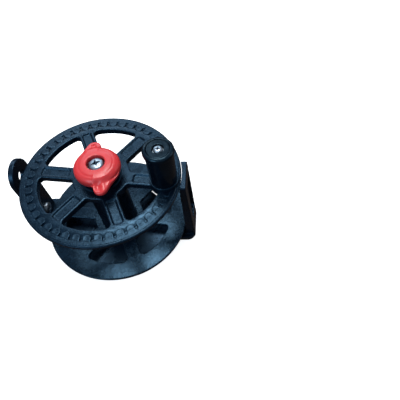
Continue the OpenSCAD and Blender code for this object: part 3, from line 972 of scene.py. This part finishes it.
def beak_distance(x, y):
    """Distance from the outline of one beak, a hull of two circles, along +X."""
    root, root_r, end, end_r = np.array([6.5, 4.0]), 6.2, np.array([tip_r - 4.0, 0.0]), 4.0
    along = end - root
    length = np.linalg.norm(along)
    along /= length
    px, py = x - root[0], y - root[1]
    v = px * along[0] + py * along[1]
    u = np.abs(px * along[1] - py * along[0])
    slope = (root_r - end_r) / length
    cosine = math.sqrt(1 - slope * slope)
    k = -u * slope + v * cosine
    side = u * cosine + v * slope - root_r
    at_root = np.hypot(u, v) - root_r
    at_end = np.hypot(u, v - length) - end_r
    return np.where(k < 0, at_root, np.where(k > cosine * length, at_end, side))


def plan_distance(r, angle):
    distance = r - body_r
    for turn in (0, math.pi):
        a = angle - math.radians(beak_az) - turn
        beak = beak_distance(r * np.cos(a), r * np.sin(a))
        h = np.clip(2.8 - np.abs(distance - beak), 0, None) / 2.8
        distance = np.minimum(distance, beak) - h * h * 0.7
    return distance


plan_steps = 288
angles = 2 * math.pi * np.arange(plan_steps) / plan_steps
low_r, high_r = np.full(plan_steps, 10.0), np.full(plan_steps, 24.0)
for step in range(30):
    centre_r = (low_r + high_r) / 2
    inside = plan_distance(centre_r, angles) < 0
    low_r, high_r = np.where(inside, centre_r, low_r), np.where(inside, high_r, centre_r)
plan_r = np.minimum(low_r, tip_r)
print("the knob's radius goes from", plan_r.min().round(2), "to", plan_r.max().round(2))

# %% The knob's profiles
rim_at, dome_edge, beak_level, under = 6.3, knob_low + 5.6, knob_low + 6.0, knob_low + 3.6
beakness = np.clip((plan_r - body_r - 0.25) / 2.2, 0, 1)
beakness = beakness * beakness * (3 - 2 * beakness)


def knob_top(r, k):
    """Height of the knob's top at radius r for angle number k."""
    t = np.clip((r - rim_at) / (body_r - rim_at), 0, 1)
    dome = dome_edge + (knob_high - dome_edge) * np.sqrt(1 - t ** 2.3)
    dome -= 0.16 * np.exp(-((r - 9.9) / 0.55) ** 2)
    a = angles[k] - math.radians(beak_az)
    upper = math.cos(a) > 0
    a = (a + math.pi / 2) % math.pi - math.pi / 2
    across = r * math.sin(a)
    if upper:
        groove = (np.exp(-(across / 1.3) ** 8) * np.clip((r - 14.2) / 0.3, 0, 1)
                  * np.clip((17.4 - r) / 0.3, 0, 1))
        beak = beak_level + 0.9 - 0.17 * (r - body_r) - 0.6 * groove
    else:
        groove = np.exp(-((across + 1.3) / 1.5) ** 2) * np.exp(-((r - 14.4) / 2.6) ** 4)
        crest = np.exp(-((across - 1.7) / 1.5) ** 2)
        beak = beak_level + 0.9 - 0.19 * (r - body_r) - 0.85 * groove + 0.5 * crest
    fall = np.clip((r - body_r + 2.4) / 3.2, 0, 1)
    blend = fall * fall * (3 - 2 * fall)
    crown = (np.sqrt(1 - np.clip((r - rim_at) / 10.5, 0, 1) ** 2.2) * (knob_high - dome_edge + 0.4)
             + dome_edge - 0.4)
    winged = np.maximum(crown, beak) * (1 - blend) + beak * blend
    edge = 1.25
    inner = np.clip(edge - (plan_r[k] - r), 0, edge)
    winged = winged - (edge - np.sqrt(np.clip(edge * edge - inner * inner, 0, None)))
    return dome * (1 - beakness[k]) + winged * beakness[k]


radial = np.concatenate([np.linspace(0, 0.8, 20), 0.8 + 0.2 * np.sin(np.linspace(0.12, math.pi / 2, 14))])
knob_rings = []
for t in radial:
    r = rim_at + (plan_r - rim_at) * t
    z = [knob_top(r[k], k) for k in range(plan_steps)]
    knob_rings.append(np.column_stack([r * np.cos(angles), r * np.sin(angles), z]))
edge_z = knob_rings[-1][:, 2]
for drop in (0.2, 0.6):
    z = edge_z + (under + 0.7 - edge_z) * drop
    knob_rings.append(np.column_stack([plan_r * np.cos(angles), plan_r * np.sin(angles), z]))
for cut, rise in ((0.0, 0.7), (0.06, 0.42), (0.2, 0.2), (0.42, 0.06), (0.7, 0.0)):
    r = plan_r - cut
    knob_rings.append(np.column_stack([r * np.cos(angles), r * np.sin(angles),
                                       np.full(plan_steps, under + rise)]))
for r, z in ((11.4, under), (10.6, under - 0.15), (10.4, under - 0.7), (10.4, knob_low + 0.3),
             (10.1, knob_low)):
    knob_rings.append(lifted(circle(r, plan_steps), z))
insert_low, insert_high = span("knob_insert", 2)
for r, z in ((8.9, knob_low), (8.8, knob_low + 0.1), (8.8, insert_low), (6.25, insert_low),
             (6.2, insert_high), (5.4, insert_high + 0.02), (5.3, knob_high - 0.9), (5.3, knob_high - 0.5),
             (5.45, knob_high - 0.18), (5.75, knob_high - 0.02)):
    knob_rings.append(lifted(circle(r, plan_steps), z))
knob = Skin()
knob.stack(knob_rings, closed=True)
fitted(knob.thing("drag_knob_moulding"), "drag_knob", "red_plastic")

# %% [markdown]
# ## Stage
# The reel stands on plain white paper under a broad, soft light. The paper is only for the
# camera: dark plastic mirrors whatever is round it, and a dim room below the horizon keeps
# its sides as deep as they are.

# %% Floor
paper = Skin()
paper.fill(paper.loop(lifted(circle(3000, 64), -0.02)))
floor = paper.thing("floor")
sheet, shader, place = finish_named("white paper", {
    "Roughness": 0.9, "Specular IOR Level": 0.0,
    "Emission Color": (1, 1, 1, 1), "Emission Strength": 0.82})
fibre = place.noise(1.5, 4, 0.6)
feed(shader, Base_Color=fibre.tint((0.86, 0.86, 0.86), (0.92, 0.92, 0.92)))
floor.data.materials.append(sheet)
floor.visible_glossy = floor.visible_diffuse = False
floor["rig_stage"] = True

# %% Lights
world = bpy.data.worlds.new("room")
bpy.context.scene.world = world
world.use_nodes = True
sky = world.node_tree.nodes["Background"]
direction = Wire(world.node_tree, world.node_tree.nodes.new("ShaderNodeTexCoord").outputs["Generated"])
split = direction.node("ShaderNodeSeparateXYZ", {}, {0: direction}, 2)
glow = split.between(-0.1, 0.7).tint((0.055, 0.045, 0.040), (0.26, 0.33, 0.40))
world.node_tree.links.new(glow.socket, sky.inputs["Color"])
bpy.context.scene.view_settings.view_transform = "Standard"


def lamp(name, azimuth, height, distance, size, power, colour):
    """A soft lamp in a direction from the reel, in degrees, that faces the reel."""
    turn, rise = math.radians(azimuth), math.radians(height)
    place = Vector((math.cos(turn) * math.cos(rise), math.sin(turn) * math.cos(rise), math.sin(rise)))
    light = bpy.data.lights.new(name, "AREA")
    light.shape, light.size, light.size_y = "RECTANGLE", *size
    light.energy, light.color = power, colour
    thing = bpy.data.objects.new(name, light)
    thing.location = place * distance + Vector((0, 0, 0.04))
    thing.rotation_euler = place.to_track_quat("Z", "Y").to_euler()
    bpy.context.scene.collection.objects.link(thing)


lamp("ceiling", 100, 73, 1.1, (0.45, 0.45), 8.5, (1.0, 0.99, 0.97))
lamp("back window", 105, 33, 1.2, (0.9, 0.45), 3.6, (0.70, 0.88, 1.0))
lamp("front window", -121, 33, 1.0, (0.45, 0.45), 3.0, (0.62, 0.84, 1.0))
lamp("right wall", 10, 20, 1.0, (0.5, 0.5), 1.2, (1.0, 0.86, 0.80))

# %% Sizes
low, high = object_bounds()
print("past the CAD box by", [round(max(a - b, 0) * 1000, 2) for a, b in zip(cad_low, low)],
      [round(max(b - a, 0) * 1000, 2) for a, b in zip(cad_high, high)], "mm")
